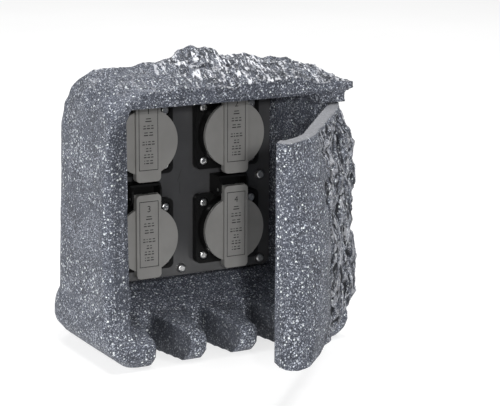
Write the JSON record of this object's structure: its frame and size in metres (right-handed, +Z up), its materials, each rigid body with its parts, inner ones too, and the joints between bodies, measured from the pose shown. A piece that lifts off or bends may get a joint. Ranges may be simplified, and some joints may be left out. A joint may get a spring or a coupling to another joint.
{
  "type": "garden rock power point",
  "caption": "Artificial stone block hiding spring-lid earthed sockets on a black panel, with cable gaps under a hinged rock-faced door.",
  "frame": {"origin": "on the ground under the middle of the sockets, level with the middle of the block's depth", "axes": "X to the right seen from the front, Y from the front into the block, Z up; the door is at -Y"},
  "size_m": [0.1855, 0.2536, 0.2054],
  "materials": {
    "stone": "rough speckled cast resin stone",
    "steel": "bright zinc-plated",
    "nylon": "white nylon",
    "panel_black": "semi-gloss black",
    "socket_black": "satin black",
    "rubber": "matt black",
    "insert_grey": "dark grey moulding",
    "brass": "plain brass",
    "lid_grey": "satin warm grey",
    "gland_black": "matt black",
    "terminal_grey": "pale grey",
    "wire_brown": "brown insulation",
    "wire_blue": "blue insulation",
    "wire_green": "green-yellow insulation"
  },
  "bodies": {
    "block": {"contact_sleeves_bl": "brass", "contact_sleeves_br": "brass", "contact_sleeves_tl": "brass", "contact_sleeves_tr": "brass", "door_hinge_pins": "steel", "door_washer": "nylon", "earth_bracket_bl": "steel", "earth_bracket_br": "steel", "earth_bracket_tl": "steel", "earth_bracket_tr": "steel", "earth_wire": "wire_green", "flange_screws": "steel", "gland_body": "gland_black", "gland_dome_nut": "gland_black", "gland_lock_nut": "gland_black", "gland_seal": "rubber", "lid_pin_bl": "steel", "lid_pin_br": "steel", "lid_pin_tl": "steel", "lid_pin_tr": "steel", "lid_spring_bl": "steel", "lid_spring_br": "steel", "lid_spring_tl": "steel", "lid_spring_tr": "steel", "neutral_wire": "wire_blue", "panel_gasket": "rubber", "panel_screws": "steel", "phase_wire": "wire_brown", "socket_base_bl": "socket_black", "socket_base_br": "socket_black", "socket_base_tl": "socket_black", "socket_base_tr": "socket_black", "socket_insert_bl": "insert_grey", "socket_insert_br": "insert_grey", "socket_insert_tl": "insert_grey", "socket_insert_tr": "insert_grey", "socket_pad_bl": "rubber", "socket_pad_br": "rubber", "socket_pad_tl": "rubber", "socket_pad_tr": "rubber", "socket_panel": "panel_black", "stone_body": "stone", "terminal_block": "terminal_grey"},
    "door": {"door_shell": "stone"},
    "lid_tl": {"lid_tl": "lid_grey", "lid_seal_tl": "rubber"},
    "lid_tr": {"lid_tr": "lid_grey", "lid_seal_tr": "rubber"},
    "lid_bl": {"lid_bl": "lid_grey", "lid_seal_bl": "rubber"},
    "lid_br": {"lid_br": "lid_grey", "lid_seal_br": "rubber"}
  },
  "joints": [
    {"name": "door_hinge", "type": "hinge", "parent": "block", "child": "door", "pos_m": [0.0823, -0.0473, 0.0975], "axis": [0, 0, 1], "range_deg": [-46, 34]},
    {"name": "lid_hinge_tl", "type": "hinge", "parent": "block", "child": "lid_tl", "pos_m": [-0.034, 0.005, 0.1698], "axis": [-1, 0, 0], "range_deg": [0, 80], "stiffness_Nm_per_rad": 0.02, "springref_deg": -34.38},
    {"name": "lid_hinge_tr", "type": "hinge", "parent": "block", "child": "lid_tr", "pos_m": [0.034, 0.005, 0.1698], "axis": [-1, 0, 0], "range_deg": [0, 80], "stiffness_Nm_per_rad": 0.02, "springref_deg": -34.38},
    {"name": "lid_hinge_bl", "type": "hinge", "parent": "block", "child": "lid_bl", "pos_m": [-0.034, 0.005, 0.1018], "axis": [-1, 0, 0], "range_deg": [0, 100], "stiffness_Nm_per_rad": 0.02, "springref_deg": -34.38},
    {"name": "lid_hinge_br", "type": "hinge", "parent": "block", "child": "lid_br", "pos_m": [0.034, 0.005, 0.1018], "axis": [-1, 0, 0], "range_deg": [0, 100], "stiffness_Nm_per_rad": 0.02, "springref_deg": -34.38}
  ]
}
